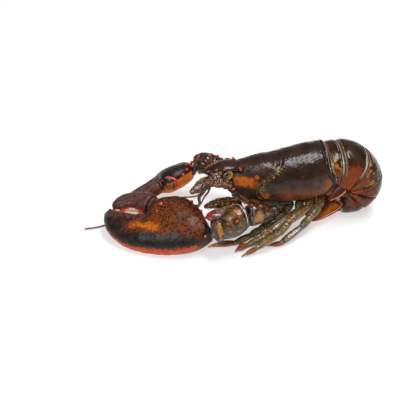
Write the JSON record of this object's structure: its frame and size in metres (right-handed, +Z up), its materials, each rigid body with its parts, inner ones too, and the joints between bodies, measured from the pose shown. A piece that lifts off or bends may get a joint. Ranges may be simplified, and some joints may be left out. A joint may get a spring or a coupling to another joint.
{
  "type": "whole lobster",
  "caption": "Whole lobster lying on its belly: dark glossy shell, big claws folded forward, tail curled under.",
  "frame": {"origin": "middle of the footprint's bounding rectangle, on the ground the lobster lies on", "axes": "-X towards the head and claws, +X towards the curled tail, -Y the animal's left side, +Z up"},
  "size_m": [0.2857, 0.128, 0.0761],
  "materials": {
    "back_shell": "wet dark brown shell, speckled",
    "tail_shell": "wet dark brown shell, orange-brown at the sides",
    "fan_shell": "wet orange-brown shell",
    "claw_shell": "wet rust shell with dense dark specks",
    "arm_shell": "wet mottled olive and rust shell",
    "leg_shell": "wet olive shell with red joints",
    "head_shell": "grainy tan and brown shell",
    "feeler_horn": "dark red-brown horn",
    "eye": "wet black"
  },
  "bodies": {
    "root": {"carapace": "back_shell", "tail_ring_1": "tail_shell", "tail_ring_2": "tail_shell", "tail_ring_3": "tail_shell", "tail_ring_4": "tail_shell", "tail_ring_5": "tail_shell", "tail_ring_6": "tail_shell", "telson": "fan_shell", "fan_inner_left": "fan_shell", "fan_inner_right": "fan_shell", "fan_outer_left": "fan_shell", "fan_outer_right": "fan_shell", "swimmeret_left": "fan_shell", "swimmeret_right": "fan_shell", "claw_left": "claw_shell", "finger_left": "claw_shell", "claw_right": "claw_shell", "finger_right": "claw_shell", "arm_base_left": "arm_shell", "arm_upper_left": "arm_shell", "arm_wrist_left": "arm_shell", "arm_base_right": "arm_shell", "arm_upper_right": "arm_shell", "arm_wrist_right": "arm_shell", "leg_left_1": "leg_shell", "leg_left_2": "leg_shell", "leg_left_3": "leg_shell", "leg_left_4": "leg_shell", "leg_right_1": "leg_shell", "leg_right_2": "leg_shell", "leg_right_3": "leg_shell", "leg_right_4": "leg_shell", "feeler_root_left": "head_shell", "feeler_root_right": "head_shell", "mouth_leg_left": "head_shell", "mouth_leg_right": "head_shell", "feeler_whip_left": "feeler_horn", "feeler_short_left": "feeler_horn", "feeler_short_right": "feeler_horn", "eye_left": "eye", "eye_right": "eye"}
  },
  "joints": []
}
